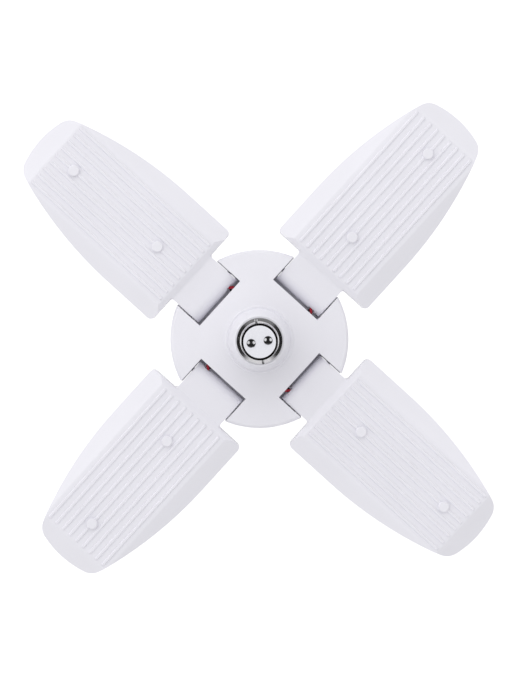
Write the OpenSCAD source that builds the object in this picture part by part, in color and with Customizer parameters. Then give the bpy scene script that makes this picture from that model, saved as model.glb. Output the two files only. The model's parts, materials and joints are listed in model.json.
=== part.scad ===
// Folding four-blade garage light with a bayonet cap. It hangs from the cap, which points up (+Z).
// The origin is the centre of the cap shell's top edge, where its straight wall ends.
// Blade 1 points along +X, blade 2 along +Y, blade 3 along -X and blade 4 along -Y.

/* [Cap] */
// Radius of the shell above the bayonet pins
cap_r = 11; // [10.8:0.05:11.1]
// Radius of the shell from the bayonet pins down
cap_low_r = 11.1; // [11:0.05:11.4]
// Thickness of the shell's metal
cap_wall = 0.4; // [0.3:0.05:0.7]
// Height of the plain stretch above the bayonet pins
cap_top_len = 5; // [4:0.25:5.5]
// Length of the straight shell down to the flare
cap_straight = 17; // [14:0.5:20]
// Radius of the throat that turns the shell into the 45 degree flare
flare_round = 2.6; // [1:0.1:3.2]
// Radius of the skirt
skirt_r = 13.8; // [12.6:0.1:14]
// Length of the skirt below the flare
skirt_len = 3.7; // [3.5:0.1:9]
// Radius of a bayonet pin
lug_r = 1; // [0.8:0.05:1.1]
// Distance from the cap's axis to a bayonet pin's end
lug_reach = 13.5; // [12.5:0.1:14]
// Depth of the bayonet pins below the origin
lug_drop = 6.6; // [6.3:0.1:8]
// Direction of the line through the two contacts, from +X
contact_angle = 52; // [0:1:180]
// Distance between the contacts' centres
contact_pitch = 10.1; // [9:0.1:10.6]
// Radius of a contact
contact_r = 2.75; // [2:0.05:3]
// Height of a contact's dome
contact_h = 1.2; // [0.8:0.1:2]
// Thickness of the insulator
insulator_t = 4.2; // [3.9:0.1:4.6]
// Radius of the insulator's face
insulator_r = 9.85; // [9.6:0.05:10.2]

/* [Hub] */
// Outer radius of the hub
hub_r = 56; // [54:0.5:57]
// Wall thickness of the housing and its cover
hub_wall = 2.2; // [1.6:0.1:2.6]
// Height of the neck that carries the cap
neck_len = 22.5; // [16:0.5:34]
// Radius of the neck at its top
neck_top_r = 15.6; // [15:0.1:17]
// Radius of the neck at its foot
neck_foot_r = 19.3; // [18:0.1:20]
// Radius of the ring round the neck's foot
ring_r = 21.3; // [20.5:0.1:24]
// Height of the ring
ring_h = 1.8; // [1:0.1:3]
// Height of the ring's foot above the hinges
ring_z = 15; // [13.5:0.25:18]
// Height of the crease through the notches' corners, above the hinges
crease_z = 10; // [9:0.25:11]
// Height of the rim above the hinges
rim_z = 7.6; // [6.8:0.1:8.6]
// Radius of the rolled rim
rim_roll = 3; // [2:0.25:4]
// Depth of the parting line between housing and cover below the hinges
part_z = 8; // [6:0.25:9]
// Depth of the cover's centre below the hinges
cover_depth = 15; // [14:0.25:16]
// Radius of the cover's rounded edge
cover_roll = 3; // [2:0.25:4]
// Depth of the cover's ledge under the blades' barrels
cover_ledge = 3.8; // [0:0.1:3.9]
// Gap between the cover and each side of a neck that is folded down
cover_side_gap = 0.3; // [0.3:0.05:0.8]
// Radius of the flat centre of the cover
cover_flat_r = 33; // [26:0.5:36]
// Height by which the spigot reaches into the cap's skirt
spigot_h = 3.4; // [2.5:0.1:3.5]

/* [Hinge] */
// Distance from the lamp's axis to a hinge axis
hinge_r = 42.4; // [42.2:0.1:44]
// Radius of the neck's barrel
barrel_r = 7; // [6:0.1:7.1]
// Gap between the barrel and the notch's inner wall
barrel_gap = 2; // [1.5:0.1:3]
// Width of a blade's neck
arm_w = 35.8; // [32:0.2:37]
// Gap on each side of the neck
side_gap = 0.9; // [0.5:0.05:1.2]
// Radius of a hinge pin
pin_r = 1.5; // [1:0.1:1.8]
// Running clearance round a hinge pin
pin_clear = 0.05; // [0.02:0.01:0.09]
// Thickness of the hub's walls beside a notch
ear_wall = 2.5; // [2:0.1:3.5]
// Thickness of the barrel's end walls
disc_t = 3.5; // [2.5:0.1:4.5]

/* [Blade] */
// Distance from the lamp's axis to the blade's root edge
root_x = 58.2; // [57.8:0.1:59]
// Distance from the lamp's axis to the blade's tip
tip_x = 185.6; // [182:0.2:200]
// Half the blade's greatest width
half_w = 37.3; // [34:0.1:37.4]
// Where the blade's straight sides end
side_x = 95; // [80:1:110]
// Radius of the curved sides
side_arc = 248; // [230:1:300]
// Radius of the rounded tip
tip_arc = 57; // [50:1:70]
// Radius of the corners between sides and tip
corner_arc = 11; // [8:0.5:14]
// Radius of the outline's corners beside the neck
root_arc = 3; // [1:0.5:5]
// Depth of the front edge below the hinge axis
front_z = 4.5; // [3.5:0.1:4.6]
// Height of the ribbed plateau above the hinge axis
plateau_z = 10; // [9:0.1:12]
// Half the width of the plateau
plateau_w = 26.1; // [24:0.1:28]
// Where the slope between neck and plateau starts
ramp_x = 57.2; // [56.5:0.1:58.2]
// Length of the slope between neck and plateau
ramp_len = 4.2; // [3:0.1:5]
// Where the plateau ends towards the tip
plateau_end = 172.3; // [168:0.1:176]
// Slope of the sides and of the tip, in degrees
wing_slope = 25; // [18:0.5:27]
// Wall thickness of the back shell
shell_wall = 1.8; // [1.2:0.1:2.1]
// Radius of the fillet between neck and blade
fillet_r = 2.2; // [1:0.1:2.4]
// Number of ribs
rib_count = 9; // [5:2:9]
// Distance between ribs
rib_pitch = 5.6; // [4.5:0.1:5.7]
// Width of a rib at its foot
rib_w = 2.2; // [1.4:0.1:2.6]
// Height of a rib
rib_h = 0.8; // [0.4:0.05:1.2]
// Gap between a rib's ends and the plateau's ends
rib_inset = 1.2; // [0.8:0.1:4]
// Radius of the closed screw bosses
boss_r = 3.4; // [3:0.1:4.5]
// Height of the bosses above the plateau
boss_h = 2; // [1.2:0.1:3]
// Where the bosses are, from the lamp's axis
boss_x = [86, 156];

/* [Light] */
// Thickness of the LED board
led_board_t = 1.2; // [1:0.1:1.6]
// Height of the LED board's front face above the hinge axis
led_board_z = 0.2; // [0:0.1:0.6]
// Rows of LEDs across a blade
led_rows = 3; // [2:1:4]
// LEDs in a row
led_columns = 8; // [4:1:9]
// Distance between LEDs along a row
led_pitch = 12; // [10:0.5:12.5]
// Distance between rows of LEDs
led_row_pitch = 15; // [12:0.5:15.5]
// Thickness of the diffuser
diffuser_t = 1.4; // [1:0.1:1.8]
// Gap round the diffuser and the LED board
fit_gap = 0.2; // [0.1:0.05:0.4]

/* [Driver] */
// Gap between the square driver board and the walls of the notches
driver_gap = 3.3; // [2.5:0.1:5]
// Thickness of the driver board
driver_t = 1.6; // [1.2:0.1:2]
// Height of the driver board's top face below the hinge axis
driver_drop = 5.4; // [4.5:0.1:6]
// Distance of the driver's screws from both edges of the board
driver_screw_inset = 5; // [4.5:0.1:6]
// Radius of the bulk capacitor
bulk_r = 5; // [4:0.1:6]
// Height of the bulk capacitor
bulk_h = 20; // [14:0.5:22]
// Size of the transformer
transformer = [16, 13, 13];
// Size of the film capacitor
film_cap = [13, 6, 11];

/* [Leads] */
// Diameter of a lead
lead_d = 1.7; // [1.2:0.1:1.9]
// Distance of a blade's red lead from the neck's side, the right one seen from outside
red_inset = 5.4; // [5:0.1:5.8]
// Distance between the red lead and the black lead
lead_pitch = 2.1; // [1.8:0.1:2.6]

/* [Screws] */
// Radius of the screws' shanks
screw_r = 1.25; // [1:0.05:1.5]
// Radius of the screws' heads
screw_head_r = 2.4; // [2.1:0.1:2.6]
// Height of the screws' heads
screw_head_h = 1.5; // [1:0.1:1.6]
// Length of the screws' shanks
screw_len = 7; // [5:0.5:9]
// Radius of the posts that take the screws
post_r = 3; // [2.6:0.1:3.4]
// Distance of the cover's screws from both centre lines
cover_screw_at = 32.5; // [31.5:0.25:34]

/* [Hidden] */
$fn = 64;
HUB_NODES = [
    "cap_shell", "cap_insulator", "cap_contacts", "bayonet_pins", "hub_housing", "hub_cover",
    "cover_screws", "driver_board", "driver_screws", "bulk_capacitor", "transformer_coil",
    "film_capacitor", "driver_chips", "fuse_resistor", "output_sockets", "live_lead", "neutral_lead",
];
BLADE_NODES = [
    "back_shell", "neck_cover", "led_board", "leds", "diffuser", "board_screws", "neck_screws",
    "hinge_pins", "red_lead", "black_lead",
];

far = 300; // longer than anything on the lamp
over = 1; // how far a cutting shape runs past the face that it cuts
touch = 0.05; // clearance between pieces that sit in one another
sink = 0.5; // how far a shape starts inside the one that it stands on

flare_throat = flare_round * (1 - cos(45)); // width of the flare's curved start
flare_len = flare_round * sin(45) + skirt_r - cap_low_r - flare_throat;
cap_len = cap_straight + flare_len + skirt_len;
cap_step = 0.6; // height of the cone between the shell's two radii
neck_foot_z = ring_z + ring_h;
neck_top_z = neck_foot_z + neck_len;
hinge_drop = cap_len + neck_top_z; // from the origin down to the hinge axes
spigot_r = skirt_r - cap_wall - touch;
spigot_bore = spigot_r - hub_wall;
neck_lid_t = 3; // thickness of the neck's top round the spigot

notch_x = hinge_r - barrel_r - barrel_gap;
notch_w = arm_w + 2 * side_gap;
crease_r = norm([notch_x, notch_w / 2]) + 0.25; // just outside the notches' inner corners
pin_hole_r = pin_r + pin_clear;
pin_inner_y = arm_w / 2 - disc_t + 0.2;
ear_y = notch_w / 2 + ear_wall;
pin_head_t = 1.2;
pin_head_r = pin_r + 1.1;

plateau_x = ramp_x + ramp_len;
crease_t = 1.2; // half the width of the softened creases
rib_x0 = plateau_x + rib_inset;
rib_x1 = plateau_end - rib_inset;
rib_sink = 0.2;
arm_wall = 2;
arm_in = arm_w / 2 - arm_wall;
arm_top = barrel_r;
led_back_z = led_board_z + led_board_t;
plateau_in_z = plateau_z - shell_wall;
board_inset = shell_wall + fit_gap;
wire_gap_w = 12; // width of the openings that let the two leads into the blade
red_y = arm_w / 2 - red_inset;
black_y = red_y - lead_pitch;
lead_y = (red_y + black_y) / 2;
wire_gap_y = lead_y + wire_gap_w / 2 - 2;
lead_front_z = led_board_z - lead_d / 2 - touch;
neck_cover_t = 1.8;
neck_cover_x1 = root_x - fit_gap;
neck_screw_x = 52;
neck_screw_y = 6;
neck_post_r = post_r - 0.4;
boss_edge = 0.5; // bevel round a boss's top
countersink_h = 1.2;
recess = [2.6, 0.7, 0.8]; // length, width and depth of an arm of a screw's cross recess

driver_w = 2 * (notch_x - hub_wall - driver_gap);
driver_screw_at = driver_w / 2 - driver_screw_inset;
driver_corner = 3; // cut off the board's corners, along their diagonals
driver_z = -driver_drop;
lead_hole_w = red_y - black_y + lead_d + 0.5;
lead_hole_h = lead_d + 1.1;
window_z = 3.4; // top of the barrel's opening for the leads
socket_size = [6, 6.6, 5.6];
socket_x = driver_w / 2 - socket_size[0] - 0.6;
lead_socket_z = driver_z + 4;

// ---------- shapes that pieces share ----------

// Points along an arc, both ends included
function arc(centre, r, a0, a1, n) =
    [for (i = [0:n]) centre + r * [cos(a0 + (a1 - a0) * i / n), sin(a0 + (a1 - a0) * i / n)]];

// Crossing, to the right of the way from p to q, of circles of radius a round p and b round q
function crossing(p, a, q, b) =
    let (d = norm(q - p), u = (q - p) / d, along = (a * a - b * b + d * d) / (2 * d))
    p + along * u + sqrt(a * a - along * along) * [u[1], -u[0]];

function angle_to(from, to) = atan2(to[1] - from[1], to[0] - from[0]);

// Corner b between a and c, softened over a distance t along both of its sides
function soft(a, b, c, t) =
    let (p = b + t * (a - b) / norm(a - b), q = b + t * (c - b) / norm(c - b))
    [p, (p + 2 * b + q) / 4, q];

// Upper half of the blade's outline, moved inwards by d
function half_outline(d) =
    let (
        side_c = [side_x, half_w - side_arc],
        tip_c = [tip_x - tip_arc, 0],
        corner = max(corner_arc - d, 1),
        root = max(root_arc - d, 0.5),
        corner_c = crossing(side_c, side_arc - d - corner, tip_c, tip_arc - d - corner),
        a_side = angle_to(side_c, corner_c),
        a_tip = angle_to(tip_c, corner_c)
    )
    concat(
        arc([root_x + d + root, half_w - d - root], root, 180, 90, 4),
        arc(side_c, side_arc - d, 90, a_side, 12),
        arc(corner_c, corner, a_side + (a_tip - a_side) / 8, a_tip, 7),
        arc(tip_c, tip_arc - d, a_tip * 3 / 4, 0, 3)
    );

module blade_outline(d) {
    upper = half_outline(d);
    last = len(upper) - 1;
    polygon(concat(upper, [for (i = [last - 1:-1:0]) [upper[i][0], -upper[i][1]]]));
}

// Space under the plateau's hipped roof and over the neck's end, lowered by d
module under_roof(d) {
    drop = tan(wing_slope);
    top = plateau_z - d;
    neck_top = arm_top - d;
    side = half_w + over;
    side_z = top - (side - plateau_w) * drop;
    tip = tip_x + over;
    tip_z = top - (tip - plateau_end) * drop;
    start = ramp_x - 2 * crease_t;
    intersection() {
        translate([start, 0, 0]) rotate([90, 0, 90]) linear_extrude(tip - start)
            polygon(concat(
                [[-side, -far]],
                [[-side, side_z]], soft([-side, side_z], [-plateau_w, top], [plateau_w, top], crease_t),
                soft([-plateau_w, top], [plateau_w, top], [side, side_z], crease_t), [[side, side_z]],
                [[side, -far]]
            ));
        rotate([90, 0, 0]) translate([0, 0, -far]) linear_extrude(2 * far)
            polygon(concat(
                [[start, -far], [start, neck_top]],
                soft([start, neck_top], [ramp_x, neck_top], [plateau_x, top], crease_t),
                soft([ramp_x, neck_top], [plateau_x, top], [plateau_end, top], crease_t),
                soft([plateau_x, top], [plateau_end, top], [tip, tip_z], crease_t),
                [[tip, tip_z], [tip, -far]]
            ));
    }
}

// Turns a piece of blade 1 to the place of blade b
module at_blade(b) {
    rotate([0, 0, 90 * (b - 1)]) children();
}

// Mirrors a piece to both sides of the blade
module both_sides() {
    children();
    mirror([0, 1, 0]) children();
}

// A solid's four copies round the lamp
module four_round() {
    for (b = [1:4]) at_blade(b) children();
}

// Cylinder along Y from y0 to y1 round the hinge axis of blade 1
module round_hinge(r, y0, y1) {
    translate([hinge_r, y1, 0]) rotate([90, 0, 0]) cylinder(r = r, h = y1 - y0);
}

// Cross recess cut upwards into a screw's head from z = 0
module cross_recess() {
    for (turn = [0, 90]) rotate([0, 0, turn])
        translate([-recess[0] / 2, -recess[1] / 2, -over]) cube([recess[0], recess[1], recess[2] + over]);
}

// Pan-head screw: the shank points along +Z from z = 0, and the head is below
module pan_screw(length) difference() {
    union() {
        translate([0, 0, -screw_head_h / 2]) cylinder(r = screw_r, h = length + screw_head_h / 2, $fn = 24);
        rotate_extrude($fn = 32)
            polygon([[0, 0], [screw_head_r, 0], [screw_head_r, -screw_head_h * 0.6],
                [screw_head_r * 0.7, -screw_head_h], [0, -screw_head_h]]);
    }
    translate([0, 0, -screw_head_h]) cross_recess();
}

// Round tube of diameter d along a route of points
module tube(route, d) {
    sides = 8;
    last = len(route) - 1;
    function along(i) = let (v = route[min(i + 1, last)] - route[max(i - 1, 0)]) v / norm(v);
    function across(i) = let (
        t = along(i),
        s = abs(t[2]) > 0.95 ? [1, 0, 0] : [0, 0, 1],
        v = cross(t, s)
    ) v / norm(v);
    rings = [for (i = [0:last]) let (u = across(i), w = cross(u, along(i)))
        for (k = [0:sides - 1]) route[i] + d / 2 * (cos(360 * k / sides) * u + sin(360 * k / sides) * w)];
    polyhedron(rings, concat(
        [[for (k = [sides - 1:-1:0]) k]],
        [for (i = [0:last - 1]) for (k = [0:sides - 1])
            let (a = i * sides + k, b = i * sides + (k + 1) % sides) [a, b, b + sides, a + sides]],
        [[for (k = [0:sides - 1]) last * sides + k]]
    ));
}

// Everything below is drawn with the hinge axes at z = 0, and this hangs it below the cap
module hang() {
    translate([0, 0, -hinge_drop]) children();
}

// ---------- cap ----------

module cap_shell() color("silver") difference() {
    inner_r = cap_r - cap_wall;
    rotate_extrude($fn = 96) polygon(concat(
        [[cap_low_r, -cap_top_len - cap_step], [cap_r, -cap_top_len]],
        arc([cap_r - cap_wall / 2, 0], cap_wall / 2, 0, 180, 8),
        arc([inner_r + flare_round, -cap_straight], flare_round, 180, 225, 6),
        [
            [skirt_r - cap_wall, -cap_straight - flare_len], [skirt_r - cap_wall, -cap_len],
            [skirt_r, -cap_len], [skirt_r, -cap_straight - flare_len],
        ],
        arc([cap_low_r + flare_round, -cap_straight], flare_round, 225, 180, 6)
    ));
    bayonet_axes() cylinder(r = lug_shank_r + touch, h = lug_reach, $fn = 32);
}

// Places a child that points along +Z on both bayonet pins' axes
module bayonet_axes() {
    for (side = [90, 270])
        translate([0, 0, -lug_drop]) rotate([0, 90, contact_angle + side]) children();
}

lug_shank_r = lug_r - 0.2; // where a bayonet pin passes through the shell
lug_foot = cap_low_r + touch;

module bayonet_pins() color("gainsboro") bayonet_axes() {
    head_r = lug_r + 0.7;
    head_t = 0.8;
    head_end = sqrt(pow(cap_r - cap_wall, 2) - head_r * head_r) - touch;
    translate([0, 0, head_end - head_t]) cylinder(r = head_r, h = head_t, $fn = 32);
    translate([0, 0, head_end - head_t / 2])
        cylinder(r = lug_shank_r, h = lug_foot - head_end + head_t, $fn = 32);
    translate([0, 0, lug_foot]) cylinder(r = lug_r, h = lug_reach - lug_foot, $fn = 48);
}

insulator_rise = 0.4; // of the insulator's face above the origin
groove_depth = 3; // of the groove between the insulator's face and the shell
contact_stem_r = contact_r * 0.45;
contact_foot = insulator_t + 1.5; // depth of the contacts' stems below the origin

module cap_insulator() color("whitesmoke") {
    rise = insulator_rise;
    foot_r = cap_r - cap_wall - touch;
    difference() {
        rotate_extrude($fn = 96) polygon([
            [0, -insulator_t], [foot_r, -insulator_t], [foot_r, -groove_depth],
            [insulator_r, -groove_depth], [insulator_r, rise - 0.3], [insulator_r - 0.3, rise], [0, rise],
        ]);
        contact_places() translate([0, 0, -insulator_t - over])
            cylinder(r = contact_stem_r + touch, h = insulator_t + 2 * over, $fn = 32);
    }
}

module contact_places() {
    for (side = [-1, 1]) rotate([0, 0, contact_angle])
        translate([side * contact_pitch / 2, 0, 0]) children();
}

module cap_contacts() color("lightgray") contact_places() {
    dome_r = (contact_r * contact_r + contact_h * contact_h) / (2 * contact_h);
    intersection() {
        translate([0, 0, insulator_rise + contact_h - dome_r]) sphere(r = dome_r);
        translate([0, 0, insulator_rise]) cylinder(r = contact_r + over, h = contact_h + over);
    }
    translate([0, 0, -contact_foot])
        cylinder(r = contact_stem_r, h = contact_foot + insulator_rise + over / 10, $fn = 32);
}

// ---------- hub ----------

// Notch for a blade's neck, grown by a wall of thickness t
module notch(t, side) {
    translate([notch_x - t, -notch_w / 2 - side, -far / 2]) cube([hub_r, notch_w + 2 * side, far]);
}

function housing_outside() = concat(
    [[0, neck_top_z], [neck_top_r - 0.8, neck_top_z], [neck_top_r, neck_top_z - 0.8]],
    [[neck_foot_r, neck_foot_z], [ring_r - 0.6, neck_foot_z], [ring_r, neck_foot_z - 0.6]],
    [[ring_r, ring_z]],
    soft([ring_r, ring_z], [crease_r, crease_z], [hub_r - rim_roll - 0.5, rim_z], 3),
    [[hub_r - rim_roll - 0.5, rim_z]],
    arc([hub_r - rim_roll, rim_z - rim_roll], rim_roll, 75, 0, 5),
    [[hub_r, -part_z], [0, -part_z]]
);

function housing_inside() = [
    [0, neck_top_z - neck_lid_t], [neck_top_r - hub_wall, neck_top_z - neck_lid_t],
    [neck_foot_r - hub_wall, neck_foot_z - hub_wall], [ring_r - hub_wall, ring_z - hub_wall],
    [crease_r - hub_wall, crease_z - hub_wall], [hub_r - rim_roll - hub_wall, rim_z - hub_wall],
    [hub_r - hub_wall, rim_z - hub_wall - rim_roll], [hub_r - hub_wall, -far], [0, -far],
];

function cover_outside() = concat(
    [[0, -part_z], [hub_r, -part_z]],
    arc([hub_r - cover_roll, -part_z - 0.5], cover_roll, 0, -65, 5),
    [[cover_flat_r, -cover_depth], [0, -cover_depth]]
);

function cover_inside() = [
    [0, 0], [hub_r - hub_wall, 0], [hub_r - hub_wall, -part_z],
    [hub_r - hub_wall - cover_roll, -part_z - 2.5], [cover_flat_r, -cover_depth + hub_wall],
    [0, -cover_depth + hub_wall],
];

module cover_screw_places() {
    four_round() translate([cover_screw_at, cover_screw_at, 0]) children();
}

module driver_screw_places() {
    four_round() translate([driver_screw_at, driver_screw_at, 0]) children();
}

// A blade's lead passes the hub's inner wall here
module lead_holes() {
    four_round() translate([notch_x - hub_wall - over, -lead_y - lead_hole_w / 2, -lead_hole_h / 2])
        cube([hub_wall + 2 * over, lead_hole_w, lead_hole_h]);
}

module hub_housing() color("white") difference() {
    union() {
        difference() {
            rotate_extrude($fn = 128) polygon(housing_outside());
            rotate_extrude($fn = 128) polygon(housing_inside());
        }
        translate([0, 0, neck_top_z - neck_lid_t])
            cylinder(r = spigot_r, h = spigot_h + neck_lid_t, $fn = 96);
        intersection() {
            rotate_extrude($fn = 128) polygon(housing_outside());
            union() {
                four_round() difference() {
                    notch(hub_wall, ear_wall);
                    translate([far / 2 + hub_r, 0, 0]) cube(far, center = true);
                }
                cover_screw_places() translate([0, 0, -part_z])
                    cylinder(r = post_r + 0.6, h = far, $fn = 48);
                driver_screw_places() translate([0, 0, driver_z]) cylinder(r = post_r, h = far, $fn = 48);
            }
        }
    }
    four_round() notch(0, 0);
    translate([0, 0, neck_top_z - neck_lid_t - over])
        cylinder(r = spigot_bore, h = spigot_h + neck_lid_t + 2 * over, $fn = 96);
    four_round() round_hinge(pin_hole_r, -ear_y - over, ear_y + over);
    four_round() both_sides() round_hinge(pin_head_r + 1, ear_y, ear_y + pin_head_t + 2);
    lead_holes();
    cover_screw_places() translate([0, 0, -part_z - over])
        cylinder(r = screw_r + touch, h = screw_len + over, $fn = 24);
    driver_screw_places() translate([0, 0, driver_z - over])
        cylinder(r = screw_r + touch, h = screw_len + over, $fn = 24);
}

cover_seat_z = -part_z - 3.2; // where the cover screws' heads sit

// The cover's notch is narrower and shallower than the housing's, so that no light shows past a neck
module cover_notch() {
    w = arm_w + 2 * cover_side_gap;
    translate([notch_x + cover_ledge, -w / 2, -far / 2]) cube([hub_r, w, far]);
}

module hub_cover() color("white") difference() {
    union() {
        difference() {
            rotate_extrude($fn = 128) polygon(cover_outside());
            rotate_extrude($fn = 128) polygon(cover_inside());
        }
        intersection() {
            rotate_extrude($fn = 128) polygon(cover_outside());
            union() {
                four_round() notch(hub_wall, ear_wall);
                cover_screw_places() translate([0, 0, -far]) cylinder(r = post_r + 1.4, h = far, $fn = 48);
            }
        }
    }
    four_round() cover_notch();
    cover_screw_places() {
        translate([0, 0, -far / 2]) cylinder(r = screw_r + touch, h = far, $fn = 24);
        translate([0, 0, cover_seat_z - far]) cylinder(r = screw_head_r + 0.3, h = far, $fn = 48);
    }
}

module cover_screws() color("silver") cover_screw_places()
    translate([0, 0, cover_seat_z]) pan_screw(screw_len + 2);

// ---------- driver in the hub ----------

module driver_board() color("tan") difference() {
    translate([-driver_w / 2, -driver_w / 2, driver_z - driver_t]) cube([driver_w, driver_w, driver_t]);
    for (turn = [0:90:270]) rotate([0, 0, turn + 45])
        translate([driver_w / 2 * sqrt(2) - driver_corner, -far / 2, -far / 2]) cube(far);
    driver_screw_places() translate([0, 0, -far / 2]) cylinder(r = screw_r + touch, h = far, $fn = 24);
}

module driver_screws() color("silver") driver_screw_places()
    translate([0, 0, driver_z - driver_t]) pan_screw(screw_len);

// Places of the driver's parts on the board, as X and Y
bulk_at = [7.5, 6];
transformer_at = [-14, -9];
film_at = [-18, 9];
fuse_at = [socket_x - 9.4, -9];
fuse_size = [1.9, 8]; // radius and length
wire_r = 0.4; // of the resistor's legs
leg_out = 1.2; // how far a leg stands out
chip = [6.5, 5, 2.6];
chip_at = [-3, -21];
rectifier = [5, 4, 1.6];
rectifier_at = [8, -19];
regulator = [4, 5, 1.6];
regulator_at = [socket_x - 4.4, 1];
small_chip = [3.2, 1.6, 1];
small_chips_at = [[-4, 20], [3, 21]];

module on_board(at) {
    translate([at[0], at[1], driver_z]) children();
}

module bulk_capacitor() color("midnightblue") on_board(bulk_at)
    rotate_extrude($fn = 48) polygon([
        [0, 0], [bulk_r - 0.4, 0], [bulk_r, 0.5], [bulk_r, 1.6], [bulk_r - 0.4, 2.1], [bulk_r, 2.6],
        [bulk_r, bulk_h - 0.5], [bulk_r - 0.5, bulk_h], [0, bulk_h],
    ]);

module transformer_coil() color("goldenrod") on_board(transformer_at) {
    core = transformer;
    translate([0, 0, core[2] / 2 + 1]) difference() {
        cube(core, center = true);
        for (side = [-1, 1]) translate([0, side * core[1] / 2, 0])
            cube([core[0] - 6, core[1] / 3, core[2] - 5], center = true);
    }
    translate([-core[0] / 2 + 1, -core[1] / 2 + 1, 0]) cube([core[0] - 2, core[1] - 2, 1.5]);
}

module film_capacitor() color("gold") on_board(film_at) cube(film_cap);

module driver_chips() color("dimgray") {
    on_board(chip_at) cube(chip);
    on_board(rectifier_at) cube(rectifier);
    on_board(regulator_at) cube(regulator);
    for (at = small_chips_at) on_board(at) cube(small_chip);
}

module fuse_resistor() color("seagreen") on_board(fuse_at)
    translate([0, 0, fuse_size[0] + touch]) rotate([0, 90, 0]) {
        cylinder(r = fuse_size[0], h = fuse_size[1], $fn = 32);
        translate([0, 0, -leg_out]) cylinder(r = wire_r, h = fuse_size[1] + 2 * leg_out, $fn = 16);
        for (end = [-leg_out, fuse_size[1] + leg_out - 2 * wire_r]) translate([0, -wire_r, end])
            cube([fuse_size[0] + touch, 2 * wire_r, 2 * wire_r]);
    }

module output_sockets() color("ivory") four_round()
    translate([socket_x, -lead_y - socket_size[1] / 2, driver_z]) difference() {
        cube(socket_size);
        for (y = [red_y, black_y])
            translate([socket_size[0] / 2, lead_y - y + socket_size[1] / 2, lead_socket_z - driver_z])
                rotate([0, 90, 0]) cylinder(r = lead_d / 2 + touch, h = far, $fn = 24);
    }

// Routes of the cap's leads, from the contacts down to the driver board
contact_foot_z = hinge_drop - contact_foot;
live_at = [contact_pitch / 2 * cos(contact_angle), contact_pitch / 2 * sin(contact_angle)];
LIVE_ROUTE = [
    [live_at[0], live_at[1], contact_foot_z - touch], [live_at[0], live_at[1], contact_foot_z - 3],
    [3.8, 3.2, 50], [2.6, 1.4, 44],
    [0.6, 0.2, 37], [-1.4, -0.4, 30], [-1.8, -0.2, 24], [-1.2, 0.4, 18], [-1.6, 1.6, 11],
    [-2.6, 2.6, 4], [-3, 3, -1], [-3, 3, driver_z],
];
NEUTRAL_ROUTE = [
    [-live_at[0], -live_at[1], contact_foot_z - touch], [-live_at[0], -live_at[1], contact_foot_z - 3],
    [-4.2, -4.8, 50], [-3.2, -5.4, 44],
    [-0.6, -5.6, 37], [1.4, -5.2, 30], [2.4, -4.6, 24], [2, -4.4, 18], [1.2, -4.6, 11],
    [0.6, -5, 4], [0.5, -5, -1], [0.5, -5, driver_z],
];

module live_lead() color("saddlebrown") tube(LIVE_ROUTE, lead_d);

module neutral_lead() color("royalblue") tube(NEUTRAL_ROUTE, lead_d);

// ---------- blade 1 ----------

// Side view of the neck from the barrel to the blade, drawn in X and Z
module arm_side_view() {
    translate([hinge_r, 0]) circle(r = barrel_r, $fn = 96);
    translate([hinge_r, -front_z]) square([root_x + shell_wall - hinge_r, arm_top + front_z]);
}

// A side view drawn in X and Z, made solid from -w/2 to w/2 along Y
module across_blade(w) {
    translate([0, w / 2, 0]) rotate([90, 0, 0]) linear_extrude(w) children();
}

module neck_fillet() {
    size = fillet_r + sink;
    translate([root_x - fillet_r, arm_w / 2 - sink, -front_z]) difference() {
        cube([size, size, arm_top + front_z]);
        translate([0, size, -over]) cylinder(r = fillet_r, h = far, $fn = 64);
    }
}

module ribs() {
    middle = (rib_count - 1) / 2;
    for (n = [-middle:middle]) translate([rib_x0, n * rib_pitch, plateau_z - rib_sink])
        rotate([90, 0, 90]) linear_extrude(rib_x1 - rib_x0)
            polygon([
                [-rib_w / 2, 0], [rib_w / 2, 0], [rib_w / 2, rib_sink], [rib_w / 4, rib_h + rib_sink],
                [-rib_w / 4, rib_h + rib_sink], [-rib_w / 2, rib_sink],
            ]);
}

module neck_screw_places() {
    both_sides() translate([neck_screw_x, neck_screw_y, 0]) children();
}

// Wall of the hollow barrel, drawn in X and Z
module barrel_ring() {
    translate([hinge_r, 0]) difference() {
        circle(r = barrel_r, $fn = 96);
        circle(r = barrel_r - arm_wall, $fn = 96);
    }
}

// Opening through which the leads enter the barrel, at every angle of the blade
module barrel_window() {
    translate([0, -lead_y - lead_hole_w / 2, -far])
        cube([hinge_r + 2, lead_hole_w, far + window_z]);
}

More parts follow.
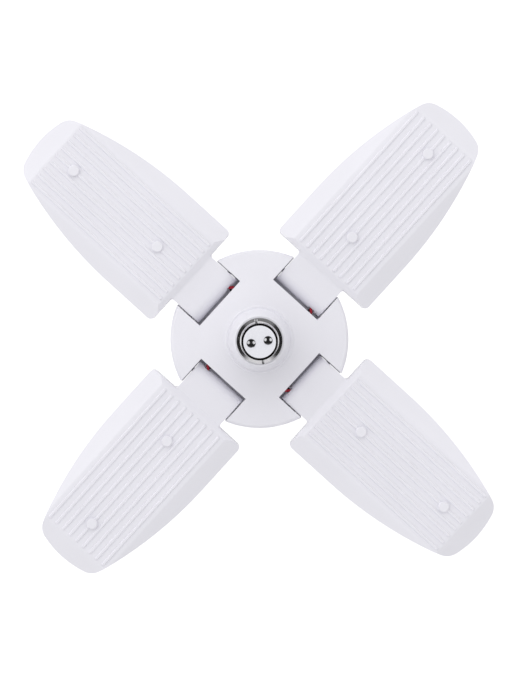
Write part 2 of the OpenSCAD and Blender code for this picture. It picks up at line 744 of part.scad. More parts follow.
module back_shell() color("white") difference() {
    union() {
        difference() {
            intersection() {
                translate([0, 0, -front_z]) linear_extrude(far) blade_outline(0);
                under_roof(0);
            }
            intersection() {
                translate([0, 0, -front_z - over]) linear_extrude(far) blade_outline(shell_wall);
                under_roof(shell_wall);
            }
        }
        // the slope's foot on the neck
        intersection() {
            translate([ramp_x - crease_t, -arm_w / 2, arm_top - sink])
                cube([root_x - ramp_x + crease_t + sink, arm_w, far]);
            under_roof(0);
        }
        ribs();
        for (x = boss_x) {
            translate([x, 0, plateau_z - sink]) rotate_extrude($fn = 48) polygon([
                [0, 0], [boss_r, 0], [boss_r, boss_h + sink - boss_edge],
                [boss_r - boss_edge, boss_h + sink], [0, boss_h + sink],
            ]);
            translate([x, 0, led_back_z])
                cylinder(r = post_r, h = plateau_in_z - led_back_z + sink, $fn = 48);
        }
        both_sides() neck_fillet();
        difference() {
            across_blade(arm_w) arm_side_view();
            // wire channel, open below, and the barrel's hollow between its end walls
            translate([hinge_r, -arm_in, -far + arm_top - arm_wall]) cube([far, 2 * arm_in, far]);
            round_hinge(barrel_r - arm_wall, -arm_in, arm_in);
            translate([hinge_r, -arm_in, -far]) rotate([0, -90, 0]) cube([2 * far, 2 * arm_in, far]);
        }
        // upper inner quarter of the barrel
        intersection() {
            across_blade(2 * arm_in + 0.4) barrel_ring();
            translate([hinge_r - far + over, -far / 2, touch]) cube(far);
        }
        both_sides() round_hinge(barrel_r, arm_w / 2 - disc_t, arm_w / 2);
        neck_screw_places() translate([0, 0, -front_z + neck_cover_t])
            cylinder(r = neck_post_r, h = front_z - neck_cover_t + arm_top - arm_wall + sink, $fn = 48);
    }
    barrel_window();
    // the leads' way into the blade
    translate([root_x - over, -wire_gap_y, -front_z - over])
        cube([shell_wall + 2 * over, wire_gap_w, front_z + over + led_board_z + 2]);
    both_sides() round_hinge(pin_hole_r, arm_w / 2 - disc_t - over, arm_w / 2 + over);
    for (x = boss_x) translate([x, 0, led_back_z - over])
        cylinder(r = screw_r + touch, h = screw_len - led_board_t + over + 0.4, $fn = 24);
    neck_screw_places() translate([0, 0, -far])
        cylinder(r = screw_r + touch, h = far - front_z + screw_len, $fn = 24);
}

module neck_cover() color("white") difference() {
    w = 2 * (arm_in - fit_gap);
    union() {
        difference() {
            translate([hinge_r, -w / 2, -front_z]) cube([neck_cover_x1 - hinge_r, w, neck_cover_t]);
            round_hinge(barrel_r - arm_wall, -far / 2, far / 2);
            both_sides() round_hinge(barrel_r + fit_gap, arm_w / 2 - disc_t - fit_gap, arm_w);
        }
        // the barrel's underside
        intersection() {
            across_blade(2 * (arm_w / 2 - disc_t - fit_gap)) barrel_ring();
            union() {
                translate([hinge_r - far, -far / 2, -far - touch]) cube(far);
                translate([hinge_r - over, -far / 2, -far - front_z + neck_cover_t]) cube(far);
            }
        }
    }
    barrel_window();
    neck_screw_places() translate([0, 0, -front_z]) {
        translate([0, 0, -over]) cylinder(r = screw_r + touch, h = neck_cover_t + 2 * over, $fn = 24);
        rotate_extrude($fn = 48) polygon([
            [0, -over], [screw_head_r + touch, -over], [screw_head_r + touch, 0],
            [screw_r + touch, countersink_h], [0, countersink_h],
        ]);
    }
}

module neck_screws() color("silver") neck_screw_places() translate([0, 0, -front_z]) difference() {
    rotate_extrude($fn = 48) polygon([
        [0, 0], [screw_head_r, 0], [screw_r, countersink_h], [screw_r, screw_len - 1], [0, screw_len - 1],
    ]);
    cross_recess();
}

module led_board() color("silver") difference() {
    translate([0, 0, led_board_z]) linear_extrude(led_board_t) blade_outline(board_inset);
    for (x = boss_x) translate([x, 0, -far / 2]) cylinder(r = screw_r + touch, h = far, $fn = 24);
}

led_x0 = (boss_x[0] + boss_x[1]) / 2 - (led_columns - 1) / 2 * led_pitch + 1;

module leds() color("khaki") {
    size = [2.8, 3.5, 0.7];
    for (column = [0:led_columns - 1]) for (row = [0:led_rows - 1])
        translate([
            led_x0 + column * led_pitch - size[0] / 2,
            (row - (led_rows - 1) / 2) * led_row_pitch - size[1] / 2,
            led_board_z - size[2],
        ]) cube(size);
}

module board_screws() color("silver") for (x = boss_x)
    translate([x, 0, led_board_z]) pan_screw(screw_len);

module diffuser() color("white") difference() {
    translate([0, 0, -front_z]) linear_extrude(front_z + led_board_z) blade_outline(board_inset);
    translate([0, 0, -front_z + diffuser_t]) linear_extrude(far) blade_outline(board_inset + diffuser_t);
    // the leads' way past the rim
    translate([0, -wire_gap_y, -front_z + diffuser_t])
        cube([root_x + board_inset + diffuser_t + over, wire_gap_w, far]);
}

module hinge_pins() color("gainsboro") both_sides() {
    round_hinge(pin_r, pin_inner_y, ear_y + pin_head_t);
    round_hinge(pin_head_r, ear_y + touch, ear_y + pin_head_t);
}

// Route of a blade's lead at distance y to the right of its centre, with a slack bow of height h
function lead_route(y, h) = [
    [socket_x + socket_size[0] / 2 + touch, -y, lead_socket_z],
    [socket_x + socket_size[0] + 0.6, -y, lead_socket_z],
    [notch_x - hub_wall, -y, -0.2],
    [notch_x, -y, 0.15],
    [notch_x + barrel_gap * 0.6, -y, h * 0.7],
    [hinge_r - barrel_r + 0.6, -y, h],
    [hinge_r - barrel_r / 2, -y, h * 0.5],
    [hinge_r, -y, 0],
    [hinge_r + 5, -y, -0.1],
    [root_x - 2, -y, lead_front_z + 0.1],
    [root_x + 2, -y, lead_front_z],
    [root_x + 9, -y, lead_front_z],
];

module red_lead() color("red") tube(lead_route(red_y, 2.1), lead_d);

module black_lead() color("black") tube(lead_route(black_y, 0.6), lead_d);

// ---------- what is drawn ----------

cap_shell();
cap_insulator();
cap_contacts();
bayonet_pins();
hang() hub_housing();
hang() hub_cover();
hang() cover_screws();
hang() driver_board();
hang() driver_screws();
hang() bulk_capacitor();
hang() transformer_coil();
hang() film_capacitor();
hang() driver_chips();
hang() fuse_resistor();
hang() output_sockets();
hang() live_lead();
hang() neutral_lead();
for (b = [1:4]) hang() at_blade(b) {
    back_shell();
    neck_cover();
    led_board();
    leds();
    diffuser();
    board_screws();
    neck_screws();
    hinge_pins();
    red_lead();
    black_lead();
}
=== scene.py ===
# Looks, light and camera of the folding four-blade garage light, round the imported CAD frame.
import json
import math

import bmesh
import bpy
from mathutils import Matrix, Vector

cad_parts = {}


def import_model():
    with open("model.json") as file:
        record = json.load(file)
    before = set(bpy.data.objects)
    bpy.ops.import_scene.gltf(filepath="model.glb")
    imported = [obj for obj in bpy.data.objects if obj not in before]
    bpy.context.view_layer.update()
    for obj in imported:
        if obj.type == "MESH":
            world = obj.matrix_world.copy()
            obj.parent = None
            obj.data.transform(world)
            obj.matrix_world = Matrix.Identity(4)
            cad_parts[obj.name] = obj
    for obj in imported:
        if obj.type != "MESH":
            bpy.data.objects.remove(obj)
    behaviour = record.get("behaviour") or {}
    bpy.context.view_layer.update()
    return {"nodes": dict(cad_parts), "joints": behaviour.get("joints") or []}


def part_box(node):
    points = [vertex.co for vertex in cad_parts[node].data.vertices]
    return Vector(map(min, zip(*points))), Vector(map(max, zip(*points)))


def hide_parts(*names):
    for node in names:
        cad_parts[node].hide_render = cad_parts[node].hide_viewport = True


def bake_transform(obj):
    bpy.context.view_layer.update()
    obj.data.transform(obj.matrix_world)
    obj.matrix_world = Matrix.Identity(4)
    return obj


MM = 0.001
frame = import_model()
NODES = frame["nodes"]

HINGE_Z = frame["joints"][0]["pos_m"][2]
BLADES = (1, 2, 3, 4)


# ---------- materials ----------

class Look:
    """One procedural material: a Principled shader and the nodes that feed it."""

    def __init__(self, name, **fixed):
        self.material = bpy.data.materials.new(name)
        self.material.use_nodes = True
        self.tree = self.material.node_tree
        self.shader = self.tree.nodes["Principled BSDF"]
        self.place = self.node("ShaderNodeTexCoord").outputs["Object"]
        self.height = None
        for socket, value in fixed.items():
            self.shader.inputs[socket.replace("_", " ")].default_value = value

    def node(self, kind, **settings):
        made = self.tree.nodes.new(kind)
        for name, value in settings.items():
            setattr(made, name, value)
        return made

    def link(self, source, target):
        self.tree.links.new(source, target)

    def noise(self, per_m, detail=3.0, rough=0.5, stretch=(1, 1, 1)):
        """Noise with per_m grains a metre, finer along the axes whose stretch is above 1."""
        mapping = self.node("ShaderNodeMapping")
        mapping.inputs["Scale"].default_value = stretch
        self.link(self.place, mapping.inputs["Vector"])
        made = self.node("ShaderNodeTexNoise")
        made.inputs["Scale"].default_value = per_m
        made.inputs["Detail"].default_value = detail
        made.inputs["Roughness"].default_value = rough
        self.link(mapping.outputs["Vector"], made.inputs["Vector"])
        return made.outputs["Fac"]

    def cells(self, per_m):
        """Distance to the nearest of per_m scattered points a metre."""
        made = self.node("ShaderNodeTexVoronoi")
        made.inputs["Scale"].default_value = per_m
        self.link(self.place, made.inputs["Vector"])
        return made.outputs["Distance"]

    def ramp(self, value, *stops):
        """Colours along value; a stop is its position and its colour."""
        made = self.node("ShaderNodeValToRGB")
        elements = made.color_ramp.elements
        while len(elements) < len(stops):
            elements.new(0.5)
        for element, (position, colour) in zip(elements, stops):
            element.position = position
            element.color = (*colour, 1.0)
        self.link(value, made.inputs["Fac"])
        return made.outputs["Color"]

    def span(self, value, low, high, start=0.3, end=0.7):
        """Value between start and end, spread from low to high."""
        made = self.node("ShaderNodeMapRange")
        for socket, number in (("From Min", start), ("From Max", end), ("To Min", low), ("To Max", high)):
            made.inputs[socket].default_value = number
        self.link(value, made.inputs["Value"])
        return made.outputs["Result"]

    def times(self, a, b):
        """Product of two colours."""
        made = self.node("ShaderNodeMix", data_type="RGBA", blend_type="MULTIPLY")
        made.inputs["Factor"].default_value = 1.0
        self.link(a, made.inputs["A"])
        self.link(b, made.inputs["B"])
        return made.outputs["Result"]

    def colour(self, source):
        self.link(source, self.shader.inputs["Base Color"])

    def roughness(self, value, low, high):
        """Roughness from low to high, as value goes."""
        self.link(self.span(value, low, high), self.shader.inputs["Roughness"])

    def bump(self, value, height_mm, strength=1.0):
        """Adds relief of height_mm; several bumps lie on top of one another."""
        made = self.node("ShaderNodeBump")
        made.inputs["Strength"].default_value = strength
        made.inputs["Distance"].default_value = height_mm * MM
        self.link(value, made.inputs["Height"])
        if self.height:
            self.link(self.height, made.inputs["Normal"])
        self.height = made.outputs["Normal"]
        self.link(self.height, self.shader.inputs["Normal"])


def shade(colour, factor):
    """Colour times factor, with no channel above 1."""
    return tuple(min(1.0, channel * factor) for channel in colour)


def from_axis(look):
    """Distance from the lamp's axis, in metres."""
    flat = look.node("ShaderNodeVectorMath", operation="MULTIPLY")
    flat.inputs[1].default_value = (1, 1, 0)
    look.link(look.place, flat.inputs[0])
    radius = look.node("ShaderNodeVectorMath", operation="LENGTH")
    look.link(flat.outputs["Vector"], radius.inputs[0])
    return radius.outputs["Value"]


def moulded(name, colour, rough=0.36, grain=2600, relief=0.012, contrast=0.012, painted_shade=(), **fixed):
    """Moulded plastic: a fine eroded grain, faint flow marks and a slightly uneven sheen.

    The stops of painted shade are (distance from the axis in metres, tone), for a piece painted darker in
    some places, where shade falls on it.
    """
    look = Look(name, **fixed)
    flow = look.noise(22, 2.0)
    fine = look.noise(grain, 3.0, 0.6)
    tone = look.ramp(flow, (0.3, shade(colour, 1 - contrast)), (0.7, shade(colour, 1 + contrast)))
    speck = look.ramp(fine, (0.25, (0.975, 0.975, 0.975)), (0.6, (1.0, 1.0, 1.0)))
    # painted shade: the tone is multiplied by greys set by the distance from the axis
    if painted_shade:
        painted_greys = [(at, shade((1, 1, 1), level)) for at, level in painted_shade]
        tone = look.times(tone, look.ramp(from_axis(look), *painted_greys))
    look.colour(look.times(tone, speck))
    look.roughness(look.noise(60, 3.0), rough - 0.05, rough + 0.06)
    look.bump(fine, relief)
    return look.material


def metal(name, colour, rough, stretch, grain, relief, tarnish=0.9):
    """Bare or plated metal: fine tool marks, longer where stretch is small, and a faint uneven tarnish."""
    look = Look(name, Metallic=1.0)
    marks = look.noise(grain, 4.0, 0.65, stretch)
    cloud = look.noise(160, 3.0)
    tone = look.ramp(cloud, (0.32, shade(colour, tarnish)), (0.62, colour))
    streak = look.ramp(marks, (0.3, (0.93, 0.93, 0.94)), (0.65, (1.0, 1.0, 1.0)))
    look.colour(look.times(tone, streak))
    look.roughness(marks, rough - 0.07, rough + 0.09)
    look.bump(marks, relief)
    return look.material


WHITE = (0.831, 0.823, 0.880)
HUB_PAINTED_SHADE = ((18 * MM, 1.0), (22 * MM, 0.95), (46 * MM, 1.0))  # painted shade: a little darker round the foot of the neck, where the neck and cap shade the hub
EVEN = (1, 1, 1)
ROUND_Z = (0.08, 0.08, 1.0)  # tool marks that go round the cap
DISC_R = 9.6  # radius of the insulator's white disc, in mm

housing = moulded("white_moulding", WHITE, Specular_IOR_Level=0.5)
# the hub's moulding has painted shade round the foot of the neck
hub_moulding_painted_shade = moulded("hub_moulding_painted_shade", WHITE, painted_shade=HUB_PAINTED_SHADE, Specular_IOR_Level=0.5)
cap_metal = metal("plated_cap", (0.74, 0.73, 0.75), 0.09, ROUND_Z, 4200, 0.0008)
contact = metal("contact_solder", (0.72, 0.72, 0.74), 0.13, EVEN, 420, 0.02, 0.86)
pin_steel = metal("hinge_steel", (0.70, 0.70, 0.72), 0.24, EVEN, 1500, 0.004)
screw_steel = metal("screw_zinc", (0.66, 0.67, 0.70), 0.28, EVEN, 1800, 0.005, 0.82)
nylon = moulded("socket_nylon", (0.72, 0.70, 0.61), 0.42, 1800, 0.01, 0.03)
film = moulded("film_capacitor_case", (0.62, 0.42, 0.05), 0.22, 900, 0.008, 0.04)
chip = moulded("chip_moulding", (0.022, 0.022, 0.024), 0.55, 5200, 0.012, 0.15)
phosphor = moulded("led_phosphor", (0.86, 0.66, 0.12), 0.34, 5200, 0.02, 0.05)
resistor = moulded("resistor_coating", (0.10, 0.26, 0.19), 0.40, 3000, 0.02, 0.08)


def insulator():
    """White plastic disc, black beyond DISC_R from the axis, which shows in the groove round the disc."""
    look = Look("cap_insulator")
    fine = look.noise(1400, 3.0, 0.6)
    disc = look.ramp(fine, (0.3, (0.785, 0.785, 0.84)), (0.7, (0.81, 0.81, 0.86)))
    black_beyond_disc = look.ramp(fine, (0.3, (0.012, 0.010, 0.012)), (0.7, (0.02, 0.018, 0.02)))
    outside = look.node("ShaderNodeMath", operation="GREATER_THAN")
    outside.inputs[1].default_value = DISC_R * MM
    look.link(from_axis(look), outside.inputs[0])
    tone = look.node("ShaderNodeMix", data_type="RGBA")
    look.link(outside.outputs["Value"], tone.inputs["Factor"])
    look.link(disc, tone.inputs["A"])
    look.link(black_beyond_disc, tone.inputs["B"])
    look.colour(tone.outputs["Result"])
    look.roughness(fine, 0.22, 0.3)
    look.bump(fine, 0.01)
    return look.material


def laminate():
    """Driver board: woven glass under a varnish, with the darker strips of its tracks."""
    look = Look("driver_laminate", Coat_Weight=0.25)
    weave = look.noise(2200, 2.0, 0.5, (1, 0.15, 1))
    board = look.ramp(weave, (0.35, (0.36, 0.25, 0.10)), (0.65, (0.47, 0.34, 0.15)))
    bricks = look.node("ShaderNodeTexBrick", offset=0.37, squash=1.6)
    bricks.inputs["Color1"].default_value = (0.95, 0.88, 0.72, 1)
    bricks.inputs["Color2"].default_value = (0.72, 0.70, 0.52, 1)
    bricks.inputs["Mortar"].default_value = (1, 1, 1, 1)
    bricks.inputs["Scale"].default_value = 150
    bricks.inputs["Mortar Size"].default_value = 0.09
    look.link(look.place, bricks.inputs["Vector"])
    look.colour(look.times(board, bricks.outputs["Color"]))
    look.roughness(weave, 0.3, 0.45)
    look.bump(weave, 0.01)
    return look.material


def wound(name, dark, light):
    """Polyester tape wound round a coil, edge over edge."""
    look = Look(name)
    turns = look.node("ShaderNodeTexWave", bands_direction="Z")
    turns.inputs["Scale"].default_value = 70
    turns.inputs["Distortion"].default_value = 0.5
    look.link(look.place, turns.inputs["Vector"])
    look.colour(look.ramp(turns.outputs["Fac"], (0.1, dark), (0.6, light)))
    look.roughness(look.noise(300), 0.22, 0.36)
    look.bump(turns.outputs["Fac"], 0.05)
    return look.material


def sleeve():
    """Shrunk sleeve of the bulk capacitor: glossy, with faint ripples round it."""
    look = Look("capacitor_sleeve", Coat_Weight=0.3)
    ripple = look.noise(260, 2.0, 0.5, (0.3, 0.3, 2.5))
    look.colour(look.ramp(ripple, (0.3, (0.010, 0.014, 0.045)), (0.7, (0.016, 0.022, 0.065))))
    look.roughness(ripple, 0.18, 0.3)
    look.bump(ripple, 0.03)
    return look.material


def insulation(name, dark, light):
    """Extruded insulation of a lead: a fine mottle and a soft sheen."""
    look = Look(name)
    mottle = look.noise(3200, 2.0, 0.5)
    look.colour(look.ramp(mottle, (0.3, dark), (0.7, light)))
    look.roughness(look.noise(500), 0.36, 0.5)
    look.bump(mottle, 0.01)
    return look.material


def enamelled_board():
    """LED board: white enamel on aluminium, with a fine orange peel."""
    look = Look("board_enamel")
    peel = look.noise(900, 3.0, 0.5)
    look.colour(look.ramp(peel, (0.3, (0.76, 0.77, 0.77)), (0.7, (0.84, 0.84, 0.83))))
    look.roughness(peel, 0.26, 0.38)
    look.bump(peel, 0.01)
    return look.material


def milky():
    """Diffuser: milky plastic with a fine pebbled face."""
    look = Look("milky_diffuser", Subsurface_Weight=0.25, Subsurface_Scale=0.002)
    pebble = look.cells(900)
    cloud = look.noise(40, 2.0)
    look.colour(look.times(
        look.ramp(cloud, (0.3, (0.83, 0.84, 0.84)), (0.7, (0.87, 0.87, 0.86))),
        look.ramp(pebble, (0.0, (1.0, 1.0, 1.0)), (0.8, (0.965, 0.968, 0.972))),
    ))
    look.roughness(cloud, 0.40, 0.52)
    look.bump(pebble, 0.03, 0.6)
    return look.material


red = insulation("red_insulation", (0.36, 0.006, 0.022), (0.46, 0.012, 0.034))
black = insulation("black_insulation", (0.012, 0.012, 0.013), (0.022, 0.022, 0.024))
LOOKS = {
    "cap_shell": cap_metal, "cap_insulator": insulator(), "cap_contacts": contact,
    "bayonet_pins": pin_steel, "hub_housing": hub_moulding_painted_shade, "hub_cover": housing,
    "cover_screws": screw_steel, "driver_board": laminate(), "driver_screws": screw_steel,
    "bulk_capacitor": sleeve(),
    "transformer_coil": wound("coil_tape", (0.42, 0.28, 0.02), (0.66, 0.48, 0.05)),
    "film_capacitor": film, "driver_chips": chip, "fuse_resistor": resistor,
    "output_sockets": nylon,
    "live_lead": insulation("brown_insulation", (0.10, 0.040, 0.018), (0.14, 0.058, 0.026)),
    "neutral_lead": insulation("blue_insulation", (0.012, 0.060, 0.26), (0.020, 0.085, 0.34)),
    "back_shell": housing, "neck_cover": housing, "led_board": enamelled_board(), "leds": phosphor,
    "diffuser": milky(), "board_screws": screw_steel, "neck_screws": screw_steel,
    "hinge_pins": pin_steel, "red_lead": red, "black_lead": black,
}


def family(name):
    """A node's name without the number of its blade."""
    head, _, tail = name.rpartition("_")
    return head if tail.isdigit() else name


for name, node in NODES.items():
    node.data.materials.clear()
    node.data.materials.append(LOOKS[family(name)])


# ---------- softened edges ----------

SAME_POINT = 2e-6  # points nearer than this are one, in metres
FLAT = math.radians(0.6)  # faces that meet at less than this are one flat face
SHARP = math.radians(18)  # edges that turn by more than this are rounded
EDGES = {  # radius of the edges, in mm
    "hub_housing": 0.4, "hub_cover": 0.4, "back_shell": 0.22, "neck_cover": 0.25, "diffuser": 0.3,
    "cap_shell": 0.1, "cap_insulator": 0.12, "bayonet_pins": 0.12, "driver_board": 0.12,
    "transformer_coil": 0.4, "film_capacitor": 0.5, "driver_chips": 0.12, "output_sockets": 0.25,
    "led_board": 0.12, "leds": 0.1, "hinge_pins": 0.15, "cover_screws": 0.12, "neck_screws": 0.06,
    "board_screws": 0.12, "driver_screws": 0.12, "cap_contacts": 0.1, "fuse_resistor": 0.15,
    "bulk_capacitor": 0.15,
}


def soften(node, radius):
    """Rounds the sharp edges of a node, by modifiers."""
    weld = node.modifiers.new("weld", "WELD")
    weld.merge_threshold = SAME_POINT
    merge = node.modifiers.new("flats", "DECIMATE")
    merge.decimate_type = "DISSOLVE"
    merge.angle_limit = FLAT
    bevel = node.modifiers.new("edges", "BEVEL")
    bevel.width = radius * MM
    bevel.segments = 2
    bevel.limit_method = "ANGLE"
    bevel.angle_limit = SHARP
    bevel.use_clamp_overlap = True
    normals = node.modifiers.new("normals", "WEIGHTED_NORMAL")
    normals.keep_sharp = False
    for face in node.data.polygons:
        face.use_smooth = True


for name, node in NODES.items():
    if family(name) in EDGES:
        soften(node, EDGES[family(name)])


# ---------- leads across the hinges ----------

def smooth_route(points, steps):
    """Points of a Catmull-Rom curve through the given ones."""
    ends = [2 * points[0] - points[1], *points, 2 * points[-1] - points[-2]]
    route = []
    for a, b, c, d in zip(ends, ends[1:], ends[2:], ends[3:]):
        for step in range(steps):
            t = step / steps
            route.append(0.5 * (2 * b + (c - a) * t + (2 * a - 5 * b + 4 * c - d) * t ** 2
                                + (3 * b - a - 3 * c + d) * t ** 3))
    return [*route, points[-1]]


def tube(name, route, radius, sides, look):
    """Closed round tube along a route."""
    mesh = bmesh.new()
    rings = []
    for i, point in enumerate(route):
        along = (route[min(i + 1, len(route) - 1)] - route[max(i - 1, 0)]).normalized()
        across = along.cross(Vector((0, 0, 1))).normalized()
        up = across.cross(along)
        rings.append([
            mesh.verts.new(point + radius * (math.cos(a) * across + math.sin(a) * up))
            for a in (math.tau * k / sides for k in range(sides))
        ])
    for ring, following in zip(rings, rings[1:]):
        for k in range(sides):
            mesh.faces.new((ring[k], ring[k - 1], following[k - 1], following[k]))
    mesh.faces.new(rings[0])
    mesh.faces.new(reversed(rings[-1]))
    bmesh.ops.recalc_face_normals(mesh, faces=mesh.faces)
    data = bpy.data.meshes.new(name)
    mesh.to_mesh(data)
    mesh.free()
    for face in data.polygons:
        face.use_smooth = len(face.vertices) == 4
    data.materials.append(look)
    made = bpy.data.objects.new(name, data)
    bpy.context.scene.collection.objects.link(made)
    return made


LEAD_R = 0.85  # radius of the leads, in mm
LEAD_STEPS, LEAD_SIDES = 6, 16  # rings from one point of a route to the next, and sides of a lead
NOTCH, HINGE = 33.4, 42.4  # distances of the hub's notches and the hinges from the axis, in mm
SOCKET_LIFT = 0.7  # the leads run in the blades this much above their sockets, in mm
BOW = {  # how each lead goes from its notch to the hinge: outward, to the side and up, in mm
    "red": (
        (NOTCH, -0.6, 0.3), (NOTCH + 1.0, -0.3, 1.9), (NOTCH + 2.8, 1.4, 2.4),
        (NOTCH + 5.5, 1.1, 1.0), (HINGE, 0.3, 0),
    ),
    "black": (
        (NOTCH, -0.3, 0.1), (NOTCH + 1.2, -0.7, -0.2), (NOTCH + 2.6, -0.9, -0.4),
        (NOTCH + 5.5, -0.5, -0.8), (HINGE, 0, 0),
    ),
}


def place_leads():
    """Smooth leads in the places of the plain solids, bowing across the hinges."""
    hinge_level = Vector((0, 0, HINGE_Z))
    for blade in BLADES:
        turn = Matrix.Rotation(math.radians(90 * (blade - 1)), 3, "Z")
        for colour, look in (("red", red), ("black", black)):
            low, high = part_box(f"{colour}_lead_{blade}")
            ends = [(turn.inverted() @ (corner - hinge_level)).x / MM for corner in (low, high)]
            near, far = sorted(ends)
            y = (turn.inverted() @ ((low + high) / 2)).y / MM
            socket = (low.z - HINGE_Z) / MM + LEAD_R
            board = socket + SOCKET_LIFT
            # points of the route: outward, to the side and up from the hinges' level, in mm
            knots = [
                (near, 0, socket), (near + 3.5, 0, socket), (NOTCH - 2.2, 0, -0.2), *BOW[colour],
                (HINGE + 5, 0, -0.1), (HINGE + 13.8, 0, board + 0.1),
                (HINGE + 17.8, 0, board), (far, 0, board),
            ]
            points = [turn @ Vector((x, y + aside, z)) * MM + hinge_level for x, aside, z in knots]
            route = smooth_route(points, LEAD_STEPS)
            lead = tube(f"{colour}_lead_cable_{blade}", route, LEAD_R * MM, LEAD_SIDES, look)
            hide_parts(f"{colour}_lead_{blade}")
            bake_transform(lead)


place_leads()


# ---------- floor, light and camera ----------

FLOOR_Z = -0.60  # metres
FLOOR_HALF = 4.0  # half of the floor's width, in metres
FLOOR_DARK, FLOOR_PALE = 0.36, 0.37  # tones of the paper
FLOOR_LIFT = 0.8  # light of its own, for the camera and reflections only
KEY_AZIMUTH, KEY_TILT = math.radians(150), math.radians(35)  # tilt from straight above
KEY_DISTANCE, KEY_SIZE, KEY_POWER = 1.1, 1.0, 1.45  # metres, metres and watts

# directions of the soft light and of two panels seen in the metal, and stops of (cosine of the angle
# between a ray and a direction, level)
WASH_AZIMUTH, WASH_ELEVATION = math.radians(181), math.radians(39)
WASH = ((-1.0, 0.66), (1.0, 1.31))  # soft light, stronger from its own direction
ZENITH = ((-1.0, 1.0), (0.84, 1.0), (0.93, 0.3), (1.0, 0.3))  # less of it from straight above
CEILING = ((-1.0, 1.0), (0.02, 0.9), (0.22, 0.12), (0.6, 0.02), (1.0, 0.02))  # dark above, in reflections
# dark to the photograph's left and right, in reflections
SIDES = ((-1.0, 0.02), (-0.75, 0.06), (-0.45, 1.0), (0.45, 1.0), (0.75, 0.06), (1.0, 0.02))
TOP_SIDE = ((-1.0, 1.0), (0.5, 1.0), (0.9, 0.3), (1.0, 0.3))  # dimmer to the photograph's top
PANEL_AZIMUTH, PANEL_ELEVATION = math.radians(75), math.radians(36)
PANEL = ((-1.0, 0.0), (0.88, 0.0), (0.93, 1.0), (1.0, 1.0))

CAMERA_AZIMUTH = math.radians(132.25)  # the photograph's upward direction, from +X
PLANE_HEIGHT = 8.5  # of the plane that the camera looks at, above the hinges, in mm
CAMERA_DISTANCE = 0.925  # above that plane, in metres
CAMERA_SHIFT, TARGET_SHIFT = (25, -2), (-2.9, -0.9)  # upward and right in the photograph, in mm
VIEW_HEIGHT = math.radians(26.2)
SENSOR_HEIGHT = 24  # mm
CLIP_START = 0.01  # metres


def floor():
    """Pale paper under the lamp."""
    mesh = bmesh.new()
    bmesh.ops.create_grid(mesh, x_segments=8, y_segments=8, size=FLOOR_HALF)
    bmesh.ops.translate(mesh, verts=mesh.verts, vec=(0, 0, FLOOR_Z))
    data = bpy.data.meshes.new("floor")
    mesh.to_mesh(data)
    mesh.free()
    made = bpy.data.objects.new("floor", data)
    bpy.context.scene.collection.objects.link(made)
    look = Look("floor_paper", Roughness=0.8, Specular_IOR_Level=0.1)
    dark, pale = [FLOOR_DARK] * 3, [FLOOR_PALE] * 3
    look.colour(look.ramp(look.noise(30, 3.0), (0.3, dark), (0.7, pale)))
    # lifted to white where the camera or a reflection sees it, and not seen from below
    rays = look.node("ShaderNodeLightPath")
    seen = look.node("ShaderNodeMath", operation="MAXIMUM")
    look.link(rays.outputs["Is Camera Ray"], seen.inputs[0])
    look.link(rays.outputs["Is Glossy Ray"], seen.inputs[1])
    lift = look.node("ShaderNodeEmission")
    strength = look.node("ShaderNodeMath", operation="MULTIPLY")
    strength.inputs[1].default_value = FLOOR_LIFT
    look.link(seen.outputs[0], strength.inputs[0])
    look.link(strength.outputs[0], lift.inputs["Strength"])
    lifted = look.node("ShaderNodeAddShader")
    look.link(look.shader.outputs[0], lifted.inputs[0])
    look.link(lift.outputs[0], lifted.inputs[1])
    side = look.node("ShaderNodeNewGeometry")
    one_sided = look.node("ShaderNodeMixShader")
    look.link(side.outputs["Backfacing"], one_sided.inputs[0])
    look.link(lifted.outputs[0], one_sided.inputs[1])
    look.link(look.node("ShaderNodeBsdfTransparent").outputs[0], one_sided.inputs[2])
    look.link(one_sided.outputs[0], look.tree.nodes["Material Output"].inputs["Surface"])
    data.materials.append(look.material)


def dotted(tree, direction, azimuth, elevation):
    """Cosine of the angle between the direction of a ray and the given one."""
    made = tree.nodes.new("ShaderNodeVectorMath")
    made.operation = "DOT_PRODUCT"
    made.inputs[1].default_value = (
        math.cos(azimuth) * math.cos(elevation),
        math.sin(azimuth) * math.cos(elevation),
        math.sin(elevation),
    )
    tree.links.new(direction, made.inputs[0])
    return made.outputs["Value"]


def graded(tree, value, stops):
    """Level between stops of (value, level)."""
    low, high = stops[0][0], stops[-1][0]
    spread = tree.nodes.new("ShaderNodeMapRange")
    spread.inputs["From Min"].default_value = low
    spread.inputs["From Max"].default_value = high
    tree.links.new(value, spread.inputs["Value"])
    ramp = tree.nodes.new("ShaderNodeValToRGB")
    while len(ramp.color_ramp.elements) < len(stops):
        ramp.color_ramp.elements.new(0.5)
    for element, (position, level) in zip(ramp.color_ramp.elements, stops):
        element.position = (position - low) / (high - low)
        element.color = (level, level, level, 1)
    tree.links.new(spread.outputs["Result"], ramp.inputs["Fac"])
    return ramp.outputs["Color"]


def mixed(tree, kind, a, b, factor=1.0):
    """Mix of two colours, each a link or a grey level; factor is a link or a number."""
    made = tree.nodes.new("ShaderNodeMix")
    made.data_type = "RGBA"
    made.blend_type = kind
    for socket, source in (("A", a), ("B", b)):
        if isinstance(source, float):
            made.inputs[socket].default_value = (source, source, source, 1)
        else:
            tree.links.new(source, made.inputs[socket])
    if isinstance(factor, float):
        made.inputs["Factor"].default_value = factor
    else:
        tree.links.new(factor, made.inputs["Factor"])
    return made.outputs["Result"]


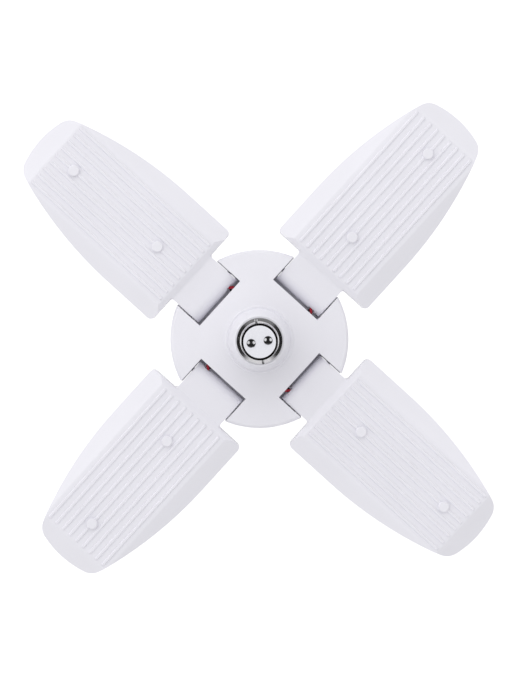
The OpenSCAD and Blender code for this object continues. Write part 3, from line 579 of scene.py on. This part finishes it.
def world():
    """White where the camera sees it; soft light, stronger from one side; a dark ceiling in reflections."""
    made = bpy.data.worlds.new("studio")
    bpy.context.scene.world = made
    made.use_nodes = True
    tree = made.node_tree
    background = tree.nodes["Background"]
    rays = tree.nodes.new("ShaderNodeLightPath")
    direction = tree.nodes.new("ShaderNodeTexCoord").outputs["Generated"]
    wash = graded(tree, dotted(tree, direction, WASH_AZIMUTH, WASH_ELEVATION), WASH)
    height = dotted(tree, direction, 0.0, math.radians(90))
    wash = mixed(tree, "MULTIPLY", wash, graded(tree, height, ZENITH))
    ceiling = graded(tree, height, CEILING)
    sides = graded(tree, dotted(tree, direction, CAMERA_AZIMUTH - math.radians(90), 0.0), SIDES)
    mirrored = mixed(tree, "MULTIPLY", ceiling, sides)
    top = graded(tree, dotted(tree, direction, CAMERA_AZIMUTH, 0.0), TOP_SIDE)
    mirrored = mixed(tree, "MULTIPLY", mirrored, top)
    for side in (-1, 1):
        azimuth = CAMERA_AZIMUTH + side * PANEL_AZIMUTH
        panel = graded(tree, dotted(tree, direction, azimuth, PANEL_ELEVATION), PANEL)
        mirrored = mixed(tree, "LIGHTEN", mirrored, panel)
    lit = mixed(tree, "MIX", wash, mirrored, rays.outputs["Is Glossy Ray"])
    seen = tree.nodes.new("ShaderNodeMath")
    seen.operation = "MAXIMUM"
    tree.links.new(rays.outputs["Is Camera Ray"], seen.inputs[0])
    tree.links.new(rays.outputs["Is Transmission Ray"], seen.inputs[1])
    tree.links.new(mixed(tree, "MIX", lit, 1.0, seen.outputs[0]), background.inputs["Color"])


def key_light():
    """Soft key light, which shows in no picture or reflection itself."""
    light = bpy.data.lights.new("key", "AREA")
    light.shape = "DISK"
    light.size = KEY_SIZE
    light.energy = KEY_POWER
    made = bpy.data.objects.new("key", light)
    bpy.context.scene.collection.objects.link(made)
    towards = Vector((
        math.cos(KEY_AZIMUTH) * math.sin(KEY_TILT), math.sin(KEY_AZIMUTH) * math.sin(KEY_TILT),
        math.cos(KEY_TILT),
    ))
    made.location = towards * KEY_DISTANCE + Vector((0, 0, HINGE_Z))
    made.rotation_euler = (-towards).to_track_quat("-Z", "Y").to_euler()
    made.visible_camera = False
    made.visible_glossy = False


def camera():
    """Above the lamp, a little towards the photograph's upper edge."""
    data = bpy.data.cameras.new("camera")
    made = bpy.data.objects.new("camera", data)
    bpy.context.scene.collection.objects.link(made)
    up = Vector((math.cos(CAMERA_AZIMUTH), math.sin(CAMERA_AZIMUTH), 0))
    right = Vector((up.y, -up.x, 0))
    plane = Vector((0, 0, HINGE_Z + PLANE_HEIGHT * MM))
    upward, sideways = CAMERA_SHIFT
    location = plane + Vector((0, 0, CAMERA_DISTANCE)) + upward * MM * up + sideways * MM * right
    upward, sideways = TARGET_SHIFT
    target = plane + upward * MM * up + sideways * MM * right
    ahead = (target - location).normalized()
    above = (up - ahead * up.dot(ahead)).normalized()
    pose = Matrix((ahead.cross(above), above, -ahead)).transposed().to_4x4()
    pose.translation = location
    made.matrix_world = pose
    data.sensor_fit = "VERTICAL"
    data.sensor_height = SENSOR_HEIGHT
    data.lens = data.sensor_height / 2 / math.tan(VIEW_HEIGHT / 2)
    data.clip_start = CLIP_START
    bpy.context.scene.camera = made


floor()
world()
key_light()
camera()
bpy.context.scene.view_settings.view_transform = "Standard"
